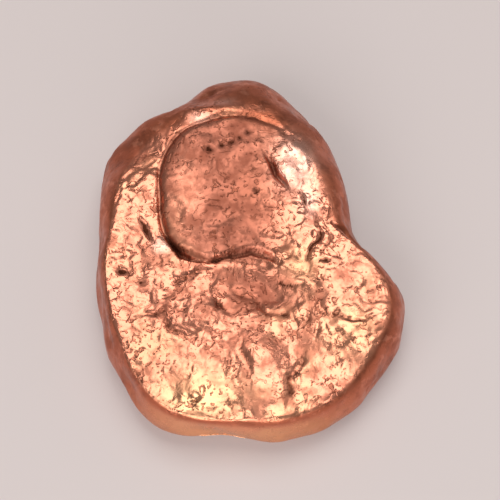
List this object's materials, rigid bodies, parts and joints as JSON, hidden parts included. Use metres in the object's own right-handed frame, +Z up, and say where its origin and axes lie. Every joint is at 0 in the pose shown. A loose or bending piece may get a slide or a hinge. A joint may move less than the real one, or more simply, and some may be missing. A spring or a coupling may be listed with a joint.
{
  "type": "native copper nugget",
  "caption": "Solid waterworn native copper nugget with a plate folded over its narrow end; lies face up on a worn flat.",
  "frame": {"origin": "centre of the bounding box in plan, at the level of the worn flat that the nugget rests on", "axes": "+Z up, out of the upper face; +Y along the length, from the broad end to the narrow end with the folded plate; +X to the right seen from above"},
  "size_m": [0.0222, 0.0288, 0.0069],
  "materials": {
    "native_copper": "satin copper, dark oxide in the creases"
  },
  "bodies": {
    "root": {"copper_nugget": "native_copper"}
  },
  "joints": []
}
